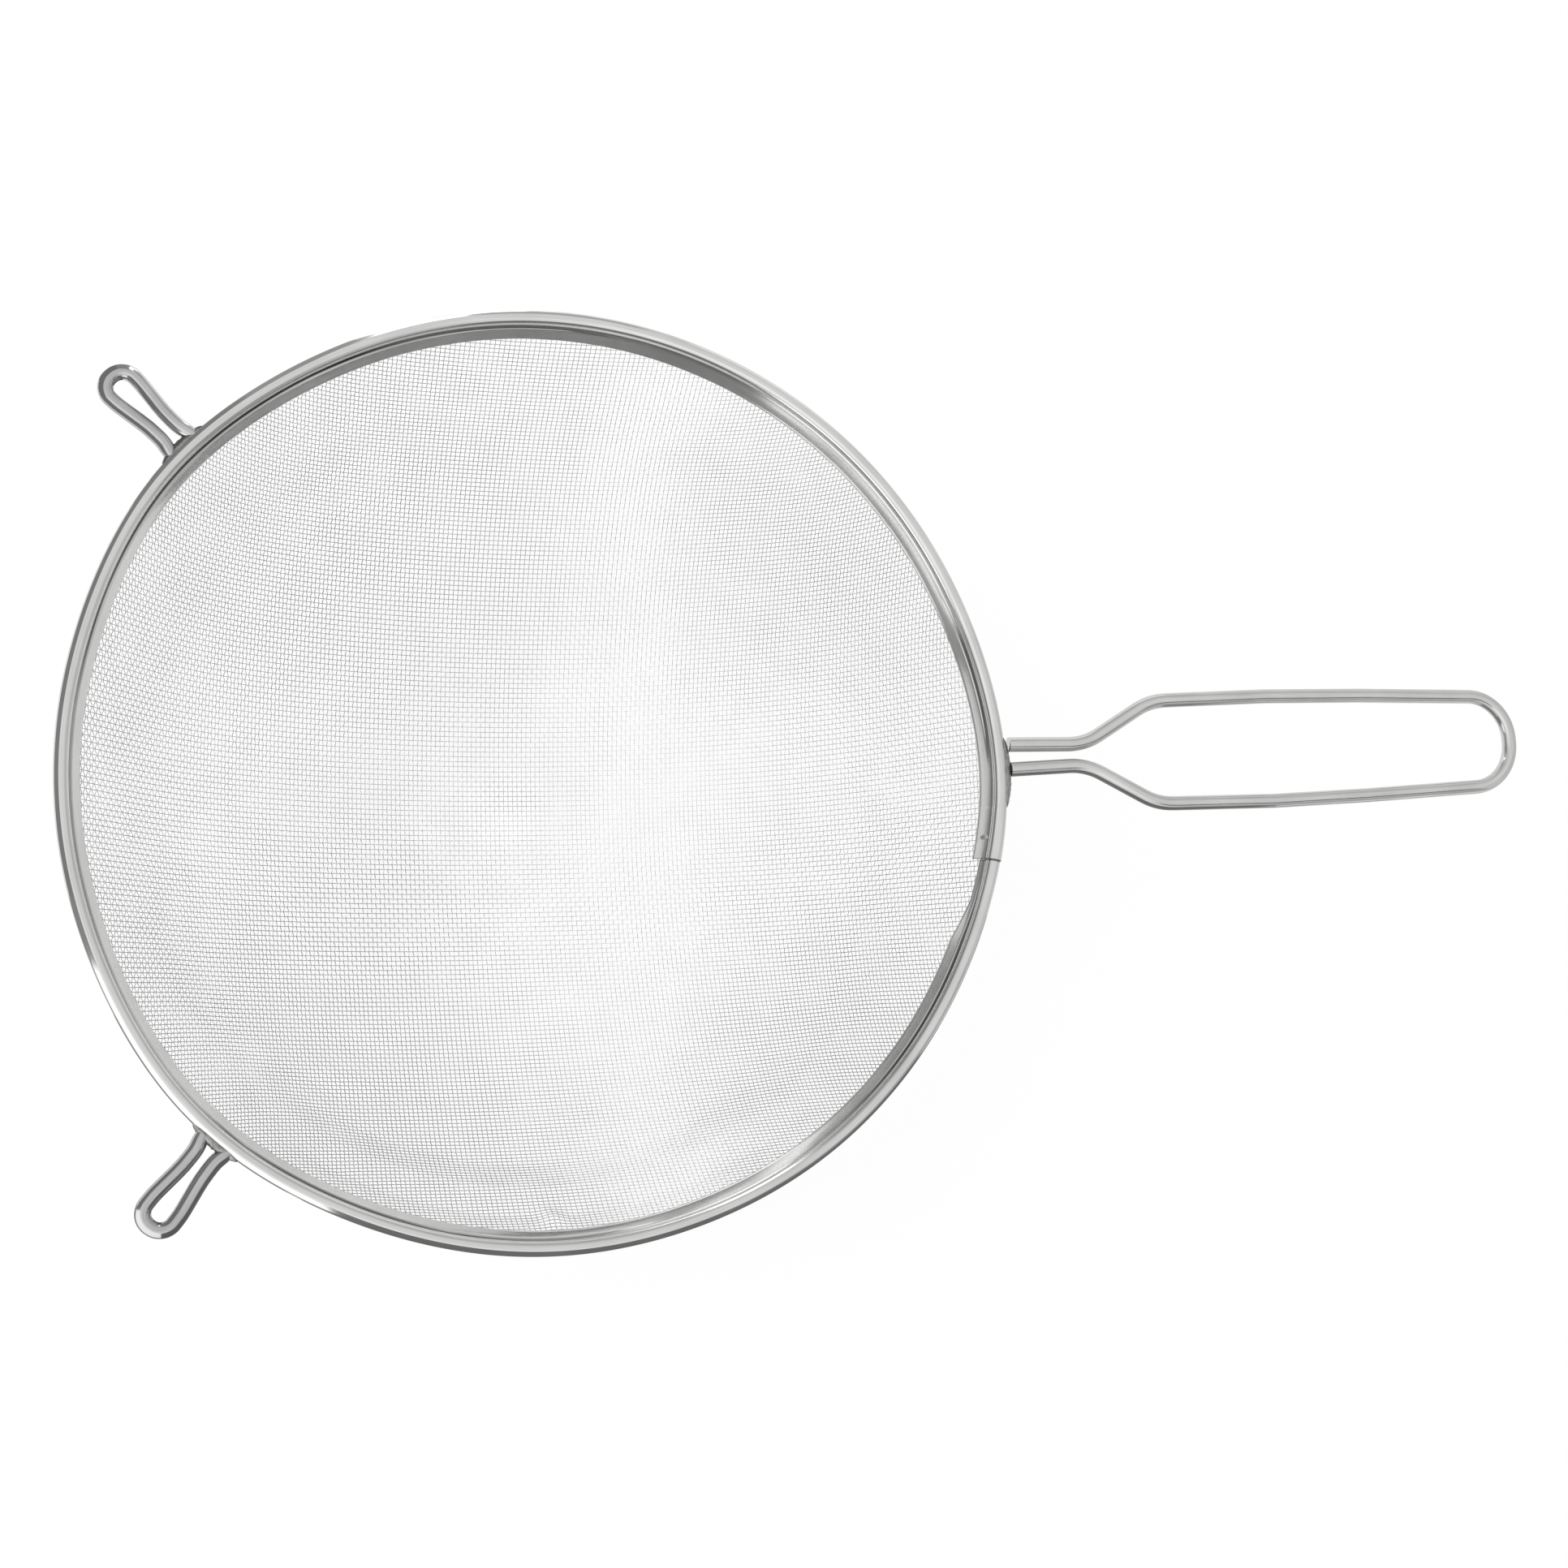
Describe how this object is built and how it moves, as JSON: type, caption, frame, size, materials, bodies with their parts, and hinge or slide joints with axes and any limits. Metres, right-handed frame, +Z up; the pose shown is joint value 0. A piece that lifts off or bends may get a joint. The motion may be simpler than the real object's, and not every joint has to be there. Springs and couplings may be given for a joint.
{
  "type": "mesh strainer",
  "caption": "Round-bottomed kitchen strainer: a woven wire mesh bowl clamped in a rolled steel rim, with a bent wire handle and wire rest hooks.",
  "frame": {"origin": "middle of the small flat under the bowl, on the bowl's axis", "axes": "+Z up along the bowl's axis, out of its mouth, +X along the handle away from the bowl, +Y to the right of someone who holds the handle and faces the bowl"},
  "size_m": [0.4285, 0.2598, 0.1029],
  "materials": {
    "mesh": "drawn wire, satin",
    "rim": "rolled strip, bright satin",
    "core": "plain drawn wire",
    "handle": "satin",
    "hook": "polished",
    "weld": "weld metal, dull grey"
  },
  "bodies": {
    "root": {"mesh_bowl": "mesh", "rim_band": "rim", "rim_core_wire": "core", "handle_wire": "handle", "handle_weld": "weld", "rest_hook_right": "hook", "rest_hook_left": "hook", "rest_hook_weld_right": "weld", "rest_hook_weld_left": "weld"}
  },
  "joints": []
}
